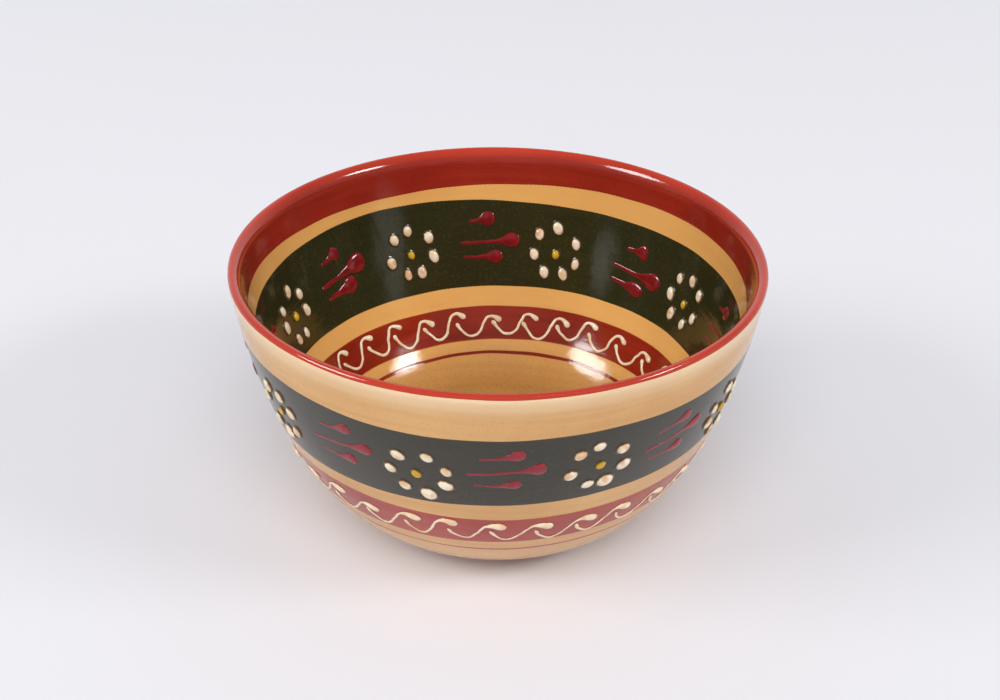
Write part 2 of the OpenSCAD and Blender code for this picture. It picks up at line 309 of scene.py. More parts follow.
def makeSlipGroup():  # brushed slip: streaks that follow the wheel, clouds, and iron specks
    tree, given, result = openTree("brushedSlip", "ShaderNodeTree",
        {"Colour": (0.6, 0.4, 0.2, 1), "Thin Colour": (0.5, 0.3, 0.1, 1),
        "Speck Colour": (0.05, 0.03, 0.02, 1), "Streaks": 0.5, "Clouds": 0.4, "Specks": 0.5,
        "Streak Scale": 420.0},
        {"Colour": "Color", "Thinness": "Float"})
    place = objectPlace(tree)
    warp = times(tree, noiseAt(tree, place, brush["warpScale"], 1.0), brush["warp"])
    drawn = doVector(tree, "ADD", doVector(tree, "MULTIPLY", place, brush["flatten"]), vectorOf(tree, z=warp))
    streaks = noiseAt(tree, drawn, given["Streak Scale"], 4.0, 0.6)
    clouds = noiseAt(tree, place, brush["cloudScale"], 3.0)
    thin = times(tree, remap(tree, streaks, 0.38, 0.68), given["Streaks"])
    thin = times(tree, remap(tree, clouds, 0.35, 0.68), given["Clouds"], thin, clamp=True)
    brushed = mixColours(tree, thin, given["Colour"], given["Thin Colour"])
    fine = remap(tree, noiseAt(tree, place, brush["fineScale"], 2.0), 0.56, 0.72)
    spot = scatterDots(tree, place, brush["speckCells"], brush["speckSize"], brush["speckRarity"])
    speck = doMath(tree, "MAXIMUM", times(tree, fine, brush["fineShare"]), spot)
    speck = times(tree, speck, given["Specks"], clamp=True)
    tree.links.new(mixColours(tree, speck, brushed, given["Speck Colour"]), result["Colour"])
    tree.links.new(thin, result["Thinness"])
    return tree


glazeLie = makeGlazeGroup()
brushedSlip = makeSlipGroup()


def srgb(*levels):  # a colour as painters' charts give it, turned linear for the shader
    shares = [((n / 255 + 0.055) / 1.055) ** 2.4 if n > 10 else n / 255 / 12.92 for n in levels]
    return (*shares, 1.0)


def startMaterial(name, gloss=0.5):
    material = bpy.data.materials.new(name)
    material.use_nodes = True
    skin = material.node_tree.nodes["Principled BSDF"]
    skin.inputs["IOR"].default_value = 1.5
    skin.inputs["Specular IOR Level"].default_value = gloss
    return material, material.node_tree, skin


def glazeOver(tree, skin, settings):
    lie = addNode(tree, "ShaderNodeGroup", node_tree=glazeLie)
    lie.inputs["Waves"].default_value = settings["waves"]
    lie.inputs["Turning Lines"].default_value = settings.get("lines", 0.0)
    lie.inputs["Pits"].default_value = settings.get("pits", 0.5)
    lie.inputs["Roughness"].default_value = settings["roughness"]
    for channel in ("Normal", "Roughness"):
        tree.links.new(lie.outputs[channel], skin.inputs[channel])


def brushOn(tree, settings):
    slip = addNode(tree, "ShaderNodeGroup", node_tree=brushedSlip)
    for socket, key in (("Colour", "colour"), ("Thin Colour", "thin"), ("Speck Colour", "speck"),
            ("Streaks", "streaks"), ("Clouds", "clouds"), ("Specks", "specks")):
        slip.inputs[socket].default_value = settings[key]
    slip.inputs["Streak Scale"].default_value = settings.get("streakScale", 420.0)
    return slip.outputs["Colour"], slip.outputs["Thinness"]


def makePalingMaterial(name, settings):  # a slip colour turned paler towards one height, less where the slip is thin; on the lip the paler crest is painted light
    material, tree, skin = startMaterial(name)
    colour, thin = brushOn(tree, settings)
    _, _, height = partsOf(tree, objectPlace(tree))
    pale = remap(tree, height, settings["paleFrom"], settings["paleTo"], smooth=True)
    pale = times(tree, pale, doMath(tree, "SUBTRACT", 1.0, times(tree, thin, 0.35)))
    tree.links.new(mixColours(tree, pale, colour, settings["pale"]), skin.inputs["Base Color"])
    glazeOver(tree, skin, settings)
    return material


def makeEdgedMaterial(name, settings):  # slip that lets the ground through where its edge feathers out
    material, tree, skin = startMaterial(name)
    colour, _ = brushOn(tree, settings)
    full = addNode(tree, "ShaderNodeAttribute", attribute_name="fullness").outputs["Fac"]
    full = remap(tree, full, 0.0, 1.0, smooth=True)
    tree.links.new(mixColours(tree, full, settings["edge"], colour), skin.inputs["Base Color"])
    glazeOver(tree, skin, settings)
    return material


def makeTrailMaterial(name, settings):  # trailed slip: thick and pale on top, thin and stained at its foot
    material, tree, skin = startMaterial(name)
    place = objectPlace(tree)
    lift = addNode(tree, "ShaderNodeAttribute", attribute_name="lift").outputs["Fac"]
    ragged = remap(tree, noiseAt(tree, place, 900.0, 2.0), 0.3, 0.7, -0.5, 0.5)
    lift = times(tree, ragged, settings["ragged"], lift)
    body = remap(tree, lift, settings["stainTop"], settings["bodyTop"], smooth=True)
    foot = remap(tree, lift, settings["bandTop"], settings["stainTop"], smooth=True)
    cloud = remap(tree, noiseAt(tree, place, 420.0, 2.0), 0.35, 0.7)
    top = mixColours(tree, cloud, settings["colour"], settings["thin"])
    pool = remap(tree, noiseAt(tree, place, 280.0, 1.0), 0.5, 0.68, smooth=True)
    top = mixColours(tree, times(tree, pool, settings["pooled"]), top, settings["pool"])
    edge = mixColours(tree, foot, settings["band"], settings["stain"])
    tree.links.new(mixColours(tree, body, edge, top), skin.inputs["Base Color"])
    glazeOver(tree, skin, settings)
    return material


def makeClayMaterial(name, settings):
    material, tree, skin = startMaterial(name, 0.2)
    colour, thin = brushOn(tree, settings)
    tree.links.new(colour, skin.inputs["Base Color"])
    tree.links.new(remap(tree, thin, 0.0, 1.0, *settings["roughness"]), skin.inputs["Roughness"])
    grit = noiseAt(tree, objectPlace(tree), 1800.0, 4.0)
    bump = addNode(tree, "ShaderNodeBump", {"Height": times(tree, thin, 0.8, grit), "Strength": 0.5,
        "Distance": 0.2 * mm})
    tree.links.new(bump.outputs["Normal"], skin.inputs["Normal"])
    return material


creamOutside = dict(roughness=0.12, colour=srgb(219, 171, 111), thin=srgb(198, 144, 82),
    pale=srgb(236, 206, 166), paleFrom=77 * mm, paleTo=85 * mm, speck=srgb(70, 42, 24),
    streaks=0.4, clouds=0.5, specks=0.22, waves=0.9, lines=0.3)
# inside, the cream is darker towards the floor and paler up the wall
creamInside = dict(creamOutside, roughness=0.11, colour=srgb(204, 146, 78), thin=srgb(178, 122, 60),
    pale=srgb(230, 172, 98), paleFrom=9 * mm, paleTo=30 * mm,
    streaks=0.3, clouds=0.5, specks=0.7, waves=2.2)
# on the lip, the pale colour paints a highlight: the crest turns paler where the light falls on it
brickRed = dict(roughness=0.09, colour=srgb(158, 44, 30), thin=srgb(136, 32, 20), edge=srgb(182, 92, 42),
    pale=srgb(190, 60, 40), paleFrom=82.5 * mm, paleTo=86 * mm, speck=srgb(60, 14, 10),
    streaks=0.5, clouds=0.6, specks=0.42, waves=1.4, lines=0.3)
scrollRed = dict(brickRed, colour=srgb(154, 44, 24), thin=srgb(120, 30, 14))
outerRed = dict(brickRed, roughness=0.14, waves=0.9, colour=srgb(176, 62, 50), thin=srgb(152, 46, 38))
leafGreen = dict(roughness=0.09, colour=srgb(45, 45, 23), thin=srgb(36, 36, 14), edge=srgb(74, 62, 30),
    speck=srgb(108, 92, 54), streaks=0.3, clouds=0.5, specks=0.36, waves=1.8, lines=0.25)
outerGreen = dict(leafGreen, roughness=0.16, waves=0.9, specks=0.14, colour=srgb(50, 46, 34),
    thin=srgb(40, 38, 26))
bareClay = dict(roughness=(0.7, 0.9), colour=srgb(176, 104, 66), thin=srgb(150, 84, 52),
    speck=srgb(90, 50, 30), streaks=0.5, clouds=0.5, specks=0.6, streakScale=700.0)
ivoryDrop = dict(roughness=0.1, colour=srgb(240, 228, 206), thin=srgb(224, 198, 158), stain=srgb(88, 54, 24),
    pool=srgb(206, 146, 76), pooled=0.65, band=srgb(46, 42, 26),
    bandTop=0.0, stainTop=0.2 * mm, bodyTop=0.6 * mm, ragged=0.2 * mm, waves=0.2, pits=1.0)
yellowDrop = dict(ivoryDrop, pooled=0.3, colour=srgb(216, 176, 40), thin=srgb(186, 140, 24),
    stain=srgb(88, 66, 14))
crimsonStroke = dict(ivoryDrop, pooled=0.0, colour=srgb(142, 26, 38), thin=srgb(122, 20, 30),
    stain=srgb(110, 22, 26), bandTop=-0.06 * mm, stainTop=0.01 * mm, bodyTop=0.09 * mm,
    ragged=0.05 * mm, pits=0.0)
crimsonInside = dict(crimsonStroke, colour=srgb(128, 22, 28), thin=srgb(104, 18, 20))
ivoryScroll = dict(ivoryDrop, pooled=0.3, colour=srgb(242, 226, 200), thin=srgb(230, 200, 156),
    stain=srgb(150, 74, 40), band=srgb(110, 34, 22),
    bandTop=-0.05 * mm, stainTop=0.03 * mm, bodyTop=0.16 * mm, ragged=0.08 * mm, pits=0.2)
materials = dict(
    clay=makeClayMaterial("bareClay", bareClay),
    creamOutside=makePalingMaterial("creamSlipOutside", creamOutside),
    creamInside=makePalingMaterial("creamSlipInside", creamInside),
    lip=makePalingMaterial("lipRed", brickRed),
    redOutside=makeEdgedMaterial("scrollRedOutside", outerRed),
    redInside=makeEdgedMaterial("scrollRedInside", scrollRed),
    greenOutside=makeEdgedMaterial("greenOutside", outerGreen),
    greenInside=makeEdgedMaterial("greenInside", leafGreen),
    petal=makeTrailMaterial("ivoryDrops", ivoryDrop),
    dot=makeTrailMaterial("yellowDrops", yellowDrop),
    sprigOutside=makeTrailMaterial("crimsonStrokesOutside", crimsonStroke),
    sprigInside=makeTrailMaterial("crimsonStrokesInside", crimsonInside),
    scroll=makeTrailMaterial("ivoryScrolls", ivoryScroll),
)
print("materials", len(materials))


# turned pieces: loops of section points carried round the axis

def placeObject(name, data):
    made = bpy.data.objects.new(name, data)
    bpy.context.collection.objects.link(made)
    return made


def addPiece(name, mesh, material, slot, *nodes):
    piece = placeObject(name, mesh)
    if material.name not in mesh.materials:
        mesh.materials.clear()
        mesh.materials.append(material)
    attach(piece, "root")
    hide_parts(*nodes)
    return piece


def finishMesh(mesh, merge):  # merges the points that meet, turns the faces outward and smooths them
    work = bmesh.new()
    work.from_mesh(mesh)
    bmesh.ops.remove_doubles(work, verts=work.verts, dist=merge)
    bmesh.ops.recalc_face_normals(work, faces=work.faces)
    work.to_mesh(mesh)
    work.free()
    mesh.shade_smooth()


def turnMesh(name, loopAt, steps):  # loopAt(angle) gives a closed section, maybe with its fullness
    rings, fullness = [], []
    for angle in np.linspace(0, 2 * math.pi, steps, endpoint=False):
        r, z, *full = loopAt(angle)
        rings.append(np.stack([r * math.cos(angle), r * math.sin(angle), z], 1))
        fullness.extend(full)
    count = len(rings[0])
    faces = []
    for i in range(steps):
        near, far = i * count, (i + 1) % steps * count
        for j in range(count):
            k = (j + 1) % count
            faces.append((near + j, far + j, far + k, near + k))
    mesh = bpy.data.meshes.new(name)
    mesh.from_pydata(np.concatenate(rings).tolist(), [], faces)
    if fullness:
        mesh.attributes.new("fullness", "FLOAT", "POINT").data.foreach_set("value", np.concatenate(fullness))
    finishMesh(mesh, 1e-7)
    mesh.set_sharp_from_angle(angle=math.radians(50))
    return mesh


tremble = [(11, 0.06), (23, 0.04)]  # the finest waves of a hand-held edge: how many go round, and size in mm


def swayAt(angle, sway):  # an edge's drift upward, from (how many waves, size in mm, peak in degrees)
    drift = sum(size * math.cos(count * (angle - math.radians(peak))) for count, size, peak in sway)
    (coarse, coarseSize), (fine, fineSize) = tremble
    drift += coarseSize * math.sin(coarse * angle + len(sway)) + fineSize * math.sin(fine * angle + 2)
    return drift * mm


underlap = 0.01 * mm  # how far a band's edge is tucked under the ground's face
edgeSteps = np.array([0.0, 0.06, 0.16, 0.32, 0.6]) * mm  # distances over which a slip edge feathers out
feather = edgeSteps[-1]


def closeLoop(face, back, *full):  # a section's face and its back, joined into one loop
    return (*(np.concatenate(pair) for pair in zip(face, back)), *full)


def featheredBand(edges, rows):  # edges are two of (station, which way is up, sway)
    bottom = -bowl["rise"]

    def loopAt(angle):
        a, b = sorted(station + up * swayAt(angle, sway) for station, up, sway in edges)
        steps = edgeSteps * min(1, (b - a) / (5 * feather))  # a thin line has shorter feathers
        stations = np.concatenate([a + steps[:-1], np.linspace(a + steps[-1], b - steps[-1], rows + 1),
            b - steps[:-1][::-1]])
        ease = np.clip(np.minimum(stations - a, b - stations) / steps[-1], 0, 1)
        face = sectionAt(stations, (bottom - underlap) * (1 - ease) ** 2)
        back = sectionAt(stations[::-1][1:-1], bottom - 2 * underlap)
        return closeLoop(face, back, np.concatenate([ease, ease[1:-1][::-1]]))

    return loopAt


# each edge has how far it settled upward in mm, and its sway
bands = dict(
    lip=dict(node="lip_band", material="lip", slot="brick_slip", rows=35, outsideAt=1.3 * mm,
        bottom=(0, [(3, 0.12, 20), (5, 0.08, 80)]), top=(0.5, [(2, 1.1, 32)])),
    greenOutside=dict(node="green_band_outside", material="greenOutside", slot="green_slip",
        top=(0.3, [(5, 0.4, -70), (2, 0.3, -150)]), bottom=(0.35, [(2, 1.0, -48)])),
    redOutside=dict(node="red_band_outside", material="redOutside", slot="brick_slip",
        top=(0.35, [(5, 0.35, -130), (3, 0.2, -140)]), bottom=(0.4, [(3, 0.7, -50)])),
    lineOutside=dict(node="red_line_outside", material="redOutside", slot="brick_slip",
        top=(0.5, [(4, 0.45, -55)]), bottom=(0.5, [(4, 0.45, -55), (6, 0.12, 10)])),
    greenInside=dict(node="green_band_inside", material="greenInside", slot="green_slip",
        top=(0.2, [(2, 0.9, 130), (4, 0.35, 125)]), bottom=(0.3, [(2, 0.4, 38)])),
    redInside=dict(node="red_band_inside", material="redInside", slot="brick_slip",
        top=(0.3, [(2, 0.4, 30)]), bottom=(0.3, [(2, 0.6, 40)])),
    lineInside=dict(node="red_line_inside", material="redInside", slot="brick_slip",
        top=(0.5, [(2, 0.4, 60)]), bottom=(0.5, [(2, 0.4, 60), (7, 0.1, 0)])),
)
bandSteps = 360
bandSpacing = 1.2 * mm


def edgeAt(side, height, settle, sway):
    up = 1 if side == "outside" else -1
    return stationOf(side, height) + up * settle * mm, up, sway


def makeBands():
    for name, band in bands.items():
        low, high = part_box(band["node"])
        if name == "lip":  # from the outside over the lip to the inside
            edges = [edgeAt("outside", bowlHeight - band["outsideAt"], *band["bottom"]),
                edgeAt("inside", low.z, *band["top"])]
        else:
            side = "outside" if "outside" in band["node"] else "inside"
            edges = [edgeAt(side, low.z, *band["bottom"]), edgeAt(side, high.z, *band["top"])]
        rows = band.get("rows") or max(2, round(abs(edges[0][0] - edges[1][0]) / bandSpacing))
        mesh = turnMesh(name + "Slip", featheredBand(edges, rows), bandSteps)
        addPiece(name + "Slip", mesh, materials[band["material"]], band["slot"], band["node"])
    print("bands", len(bands))


ground = dict(
    overlap=0.02 * mm,  # how far it reaches into the clay
    sway=0.5 * mm,
    ripple=0.3 * mm,
    outsideRows=100,
    outsideSteps=360,
    insideRows=130,
    insideSteps=300,
)


def makeGround():
    bottom, top = -slips - ground["overlap"], -bowl["rise"]
    slipEnd = stationAtRadius(footRadius + bowl["slipStop"])

    def outsideLoop(angle):
        a = slipEnd + ground["sway"] * math.sin(3 * angle + 1) + ground["ripple"] * math.sin(8 * angle)
        full = np.linspace(a + feather, lipTop, ground["outsideRows"])
        stations = np.concatenate([a + edgeSteps[:-1], full])
        fade = np.sqrt(np.clip((stations - a) / feather, 0, 1))
        face = sectionAt(stations, bottom + (top - bottom) * fade)
        return closeLoop(face, sectionAt(stations[::-1][:-1], bottom))

    def insideLoop(angle):
        stations = np.linspace(lipTop, sectionEnd, ground["insideRows"])
        face, back = sectionAt(stations, top), sectionAt(stations[::-1], bottom)
        face[0][-1] = back[0][0] = 0.0
        return closeLoop(face, back)

    for side, loopAt in (("Outside", outsideLoop), ("Inside", insideLoop)):
        name, node = "groundSlip" + side, "ground_slip_" + side.lower()
        mesh = turnMesh(name, loopAt, ground[side.lower() + "Steps"])
        addPiece(name, mesh, materials["cream" + side], "cream_slip", node)
    print("ground slips")


clayBody = dict(rows=240, steps=300)


def makeBody():
    ease, inner, recess = bowl["footEase"], footRadius - bowl["footWidth"], bowl["recess"]
    foot = [(footRadius, sectionPoints[0, 1] - ease), (footRadius - ease * 0.2, ease * 0.6),
        (footRadius - ease * 0.5, ease * 0.18), (footRadius - ease, 0), (inner + ease * 0.3, 0),
        (inner, 0.1 * ease), (inner - ease, recess - ease / 2), (inner - 2 * ease, recess),
        (inner * 0.5, recess), (0, recess)]

    def loopAt(angle):
        face = sectionAt(np.linspace(0, sectionEnd, clayBody["rows"])[::-1], -slips)
        face[0][0] = 0.0
        return closeLoop(face, np.array(foot).T)

    mesh = turnMesh("thrownBody", loopAt, clayBody["steps"])
    addPiece("thrownBody", mesh, materials["clay"], "clay", "clay_body")
    print("thrown body")


makeBody()
makeGround()
makeBands()


# the section as a curve, for the trees that lay drops and trails on the wall

def makeSectionCurve():
    curve = bpy.data.curves.new("bowlSection", "CURVE")
    curve.dimensions = "3D"
    spline = curve.splines.new("POLY")
    spline.points.add(len(sectionPoints) - 1)
    for point, (r, z) in zip(spline.points, sectionPoints):
        point.co = (r, 0, z, 1)
    return placeObject("bowlSection", curve)


def makeTrailCurve(name, strokes):  # strokes are lists of (along, up, half width) in millimetres
    curve = bpy.data.curves.new(name, "CURVE")
    curve.dimensions = "3D"
    curve.resolution_u = 16
    for stroke in strokes:
        spline = curve.splines.new("BEZIER")
        spline.bezier_points.add(len(stroke) - 1)
        for point, (along, up, half) in zip(spline.bezier_points, stroke):
            point.co = (along * mm, up * mm, 0)
            point.radius = half
            point.handle_left_type = point.handle_right_type = "AUTO"
    return placeObject(name, curve)


# a pat of slip from its top down, as (radius, height), with a thin skirt that dips into the band
dropProfile = [(0, 1.0), (0.24, 0.985), (0.5, 0.9), (0.74, 0.7), (0.9, 0.42), (0.98, 0.17), (1.05, 0.07),
    (1.2, 0.035), (1.34, -0.06), (0.6, -0.08), (0, -0.08)]


def makeDropShape(name, sides):
    work = bmesh.new()
    rings = []
    for radius, height in dropProfile:
        if radius == 0:
            rings.append([work.verts.new((0, 0, height))] * sides)
        else:
            rings.append([work.verts.new((radius * math.cos(a), radius * math.sin(a), height))
                for a in np.linspace(0, 2 * math.pi, sides, endpoint=False)])
    for upper, lower in zip(rings, rings[1:]):
        for i in range(sides):
            j = (i + 1) % sides
            work.faces.new(list(dict.fromkeys([upper[i], lower[i], lower[j], upper[j]])))
    bmesh.ops.recalc_face_normals(work, faces=work.faces)
    mesh = bpy.data.meshes.new(name)
    work.to_mesh(mesh)
    work.free()
    mesh.shade_smooth()
    return placeObject(name, mesh)


def shapeOf(tree, thing):
    node = addNode(tree, "GeometryNodeObjectInfo", {"Object": thing}, transform_space="ORIGINAL")
    return node.outputs["Geometry"]


def moveTo(tree, geometry, **where):  # takes Position or Offset
    node = addNode(tree, "GeometryNodeSetPosition", {"Geometry": geometry, **where})
    return node.outputs["Geometry"]


layInputs = {"Section": "Object", "Side": 1.0, "Angle": 0.0, "Station": 0.05, "Arc Radius": 0.07}


def makeLayGroup():  # bends flat work onto the bowl: x along the wall, y up it, z out of it
    tree, given, result = openTree("layOnBowl", "GeometryNodeTree", {"Geometry": "Geometry", **layInputs},
        {"Geometry": "Geometry"})
    along, up, lift = partsOf(tree, tree.nodes.new("GeometryNodeInputPosition").outputs[0])
    turn = doMath(tree, "DIVIDE", times(tree, along, given["Side"]), given["Arc Radius"])
    turn = doMath(tree, "ADD", turn, given["Angle"])
    station = times(tree, up, given["Side"], given["Station"])
    sample = addNode(tree, "GeometryNodeSampleCurve", {"Curves": shapeOf(tree, given["Section"]),
        "Length": station}, mode="LENGTH", data_type="FLOAT", use_all_curves=False)
    outward, _, upward = partsOf(tree, sample.outputs["Tangent"])
    normal = vectorOf(tree, upward, 0.0, times(tree, outward, -1.0))
    place = doVector(tree, "ADD", sample.outputs["Position"], doVector(tree, "SCALE", normal, scale=lift))
    place = addNode(tree, "ShaderNodeVectorRotate", {"Vector": place, "Angle": turn},
        rotation_type="Z_AXIS").outputs["Vector"]
    kept = addNode(tree, "GeometryNodeStoreNamedAttribute", {"Geometry": given["Geometry"], "Name": "lift",
        "Value": lift}, data_type="FLOAT", domain="POINT")
    tree.links.new(moveTo(tree, kept.outputs["Geometry"], Position=place), result["Geometry"])
    return tree


layOnBowl = makeLayGroup()


def openMotifTree(name, inputs):
    everything = {"Geometry": "Geometry", **inputs, "Unevenness": 1.0, "Seed": 1, **layInputs,
        "Material": "Material"}
    return openTree(name, "GeometryNodeTree", everything, {"Geometry": "Geometry"})


def layAndFinish(tree, given, result, geometry):  # onto the wall, then a plain mesh with its material
    lay = addNode(tree, "GeometryNodeGroup", node_tree=layOnBowl)
    tree.links.new(geometry, lay.inputs["Geometry"])
    for name in layInputs:
        tree.links.new(given[name], lay.inputs[name])
    real = addNode(tree, "GeometryNodeRealizeInstances", {"Geometry": lay.outputs["Geometry"]})
    smooth = addNode(tree, "GeometryNodeSetShadeSmooth", {"Geometry": real.outputs["Geometry"]})
    painted = addNode(tree, "GeometryNodeSetMaterial", {"Geometry": smooth.outputs["Geometry"],
        "Material": given["Material"]})
    tree.links.new(painted.outputs["Geometry"], result["Geometry"])


def unevenOf(tree, given, index, base, spread, draw):  # a value that strays, by its own random draw
    seed = doMath(tree, "ADD", given["Seed"], float(draw))
    stray = addNode(tree, "FunctionNodeRandomValue", {2: -spread, 3: spread, "ID": index, "Seed": seed},
        data_type="FLOAT").outputs[1]
    return times(tree, stray, given["Unevenness"], base)


def placeCopies(tree, shape, count, place, turn, scale):  # copies of a shape at places on the flat, made real
    points = addNode(tree, "GeometryNodePoints", {"Count": count})
    spin = addNode(tree, "FunctionNodeEulerToRotation", {"Euler": vectorOf(tree, z=turn)})
    copies = addNode(tree, "GeometryNodeInstanceOnPoints", {"Instance": shapeOf(tree, shape), "Scale": scale,
        "Points": moveTo(tree, points.outputs["Geometry"], Position=place), "Rotation": spin.outputs[0]})
    real = addNode(tree, "GeometryNodeRealizeInstances", {"Geometry": copies.outputs["Instances"]})
    return real.outputs["Geometry"]


dropStray = dict(turn=0.14, ring=0.07, lean=0.3, size=0.1, stretch=0.08)
heavySide = dict(turn=1.1, focus=6.0)  # where the heaviest drop hangs, and how much it stands alone


def makeRingTree():  # drops set round a ring, each a little different
    tree, given, result = openMotifTree("dropRing", {"Drop": "Object", "Count": 7, "Ring": 0.008,
        "Width": 0.0034, "Length": 0.0042, "Height": 0.0009, "Lean": 0.26, "Turn": 0.0, "Heavy": 0.0})
    index = tree.nodes.new("GeometryNodeInputIndex").outputs[0]

    def uneven(base, key, draw):
        return unevenOf(tree, given, index, base, dropStray[key], draw)

    step = doMath(tree, "DIVIDE", 2 * math.pi, given["Count"])
    angle = uneven(times(tree, index, step, given["Turn"]), "turn", 0)
    reach = times(tree, uneven(1.0, "ring", 11), given["Ring"])
    place = vectorOf(tree, times(tree, doMath(tree, "COSINE", angle), reach),
        times(tree, doMath(tree, "SINE", angle), reach))
    lean = uneven(given["Lean"], "lean", 23)
    low = doMath(tree, "MAXIMUM", doMath(tree, "COSINE", doMath(tree, "ADD", angle, heavySide["turn"])), 0.0)
    low = times(tree, doMath(tree, "POWER", low, heavySide["focus"]), given["Heavy"])
    size = doMath(tree, "ADD", uneven(1.0, "size", 37), low)
    stretched = times(tree, size, uneven(1.0, "stretch", 41))
    scale = vectorOf(tree, times(tree, times(tree, given["Width"], 0.5), size),
        times(tree, times(tree, given["Length"], 0.5), stretched), times(tree, given["Height"], size))
    drops = placeCopies(tree, given["Drop"], given["Count"], place, lean, scale)
    layAndFinish(tree, given, result, drops)
    return tree


def shapeLaw(tree, factor, points):  # a value that follows a line, given point by point, along a stroke
    node = addNode(tree, "ShaderNodeFloatCurve", {"Value": factor})
    line = node.mapping.curves[0]
    for x, y in points[1:-1]:
        line.points.new(x, y)
    line.points[0].location = points[0]
    line.points[len(points) - 1].location = points[-1]
    node.mapping.update()
    return node.outputs["Value"]


strokeStray = dict(slide=0.7 * mm, rise=0.4 * mm, length=0.07, height=0.12, lean=0.1, shake=0.9 * mm,
    shakeScale=260.0, swellScale=200.0, swell=(0.85, 1.15))


def makeTrailTree(name, headLaw, tailLaw, joint):  # strokes of trailed slip, repeated along the wall
    tree, given, result = openMotifTree(name, {"Stroke": "Object", "Count": 1, "First": 0, "Pitch": 0.011,
        "Weight": 1.0, "Reach": 4.2, "Flatness": 0.5, "Lean": 0.0, "Steps": 60, "Round": 12, "Sink": 0.06 * mm})
    index = tree.nodes.new("GeometryNodeInputIndex").outputs[0]
    number = doMath(tree, "ADD", index, given["First"])

    def uneven(base, key, draw):
        return unevenOf(tree, given, number, base, strokeStray[key], draw)

    along = times(tree, number, given["Pitch"], uneven(0.0, "slide", 3))
    place = vectorOf(tree, along, uneven(0.0, "rise", 5))
    scale = vectorOf(tree, uneven(1.0, "length", 7), uneven(1.0, "height", 9), 1.0)
    lean = uneven(given["Lean"], "lean", 13)
    strokes = placeCopies(tree, given["Stroke"], given["Count"], place, lean, scale)
    even = addNode(tree, "GeometryNodeResampleCurve", {"Curve": strokes, "Count": given["Steps"]},
        mode="COUNT")
    where = tree.nodes.new("GeometryNodeInputPosition").outputs[0]

    def seededNoise(scale, output):
        return addNode(tree, "ShaderNodeTexNoise", {"Vector": where, "Scale": scale, "Detail": 1.0,
            "W": given["Seed"]}, noise_dimensions="4D").outputs[output]

    shake = doVector(tree, "SUBTRACT", seededNoise(strokeStray["shakeScale"], "Color"), (0.5, 0.5, 0.5))
    shake = doVector(tree, "SCALE", doVector(tree, "MULTIPLY", shake, (1, 1, 0)),
        scale=times(tree, given["Unevenness"], strokeStray["shake"]))
    shaken = moveTo(tree, even.outputs["Curve"], Offset=shake)

    half = times(tree, tree.nodes.new("GeometryNodeInputRadius").outputs[0], mm)
    half = times(tree, half, given["Weight"])
    reach = times(tree, half, given["Reach"])  # how far a head runs back from the stroke's end
    fromStart = tree.nodes.new("GeometryNodeSplineParameter").outputs["Length"]
    whole = tree.nodes.new("GeometryNodeSplineLength").outputs["Length"]
    fromEnd = doMath(tree, "SUBTRACT", whole, fromStart)
    head = shapeLaw(tree, doMath(tree, "DIVIDE", fromEnd, reach, clamp=True), headLaw)
    tail = shapeLaw(tree, doMath(tree, "DIVIDE", fromStart, reach, clamp=True), tailLaw)
    swell = remap(tree, seededNoise(strokeStray["swellScale"], "Fac"), 0.3, 0.7, *strokeStray["swell"])
    thick = times(tree, half, times(tree, swell, doMath(tree, joint, head, tail)))
    sized = addNode(tree, "GeometryNodeSetCurveRadius", {"Curve": shaken, "Radius": thick})
    ring = addNode(tree, "GeometryNodeCurvePrimitiveCircle", {"Resolution": given["Round"], "Radius": 1.0})
    tube = addNode(tree, "GeometryNodeCurveToMesh", {"Curve": sized.outputs["Curve"],
        "Profile Curve": ring.outputs["Curve"], "Fill Caps": True})
    tree.links.new(tree.nodes.new("GeometryNodeInputRadius").outputs[0], tube.inputs["Scale"])

    x, y, z = partsOf(tree, where)
    z = times(tree, z, given["Flatness"])
    z = doMath(tree, "MAXIMUM", z, times(tree, given["Sink"], -1.0))
    layAndFinish(tree, given, result, moveTo(tree, tube.outputs["Mesh"], Position=vectorOf(tree, x, y, z)))
    return tree


def growMesh(name, tree, values):  # runs a tree once and keeps its plain mesh
    host = placeObject(name + "Host", bpy.data.meshes.new(name + "Host"))
    modifier = host.modifiers.new("grow", "NODES")
    modifier.node_group = tree
    sockets = {item.name: item.identifier for item in tree.interface.items_tree
        if item.item_type == "SOCKET" and item.in_out == "INPUT"}
    for key, value in values.items():
        modifier[sockets[key]] = value
    bpy.context.view_layer.update()
    ready = host.evaluated_get(bpy.context.evaluated_depsgraph_get())
    mesh = bpy.data.meshes.new_from_object(ready)
    mesh.name = name
    host.modifiers.clear()
    old = host.data
    bpy.data.objects.remove(host)
    bpy.data.meshes.remove(old)
    finishMesh(mesh, 2e-6)
    return mesh


def growPiece(name, tree, kind, slot, node, values):
    mesh = growMesh(name, tree, {**values, "Material": materials[kind]})
    addPiece(name, mesh, materials[kind], slot, node)
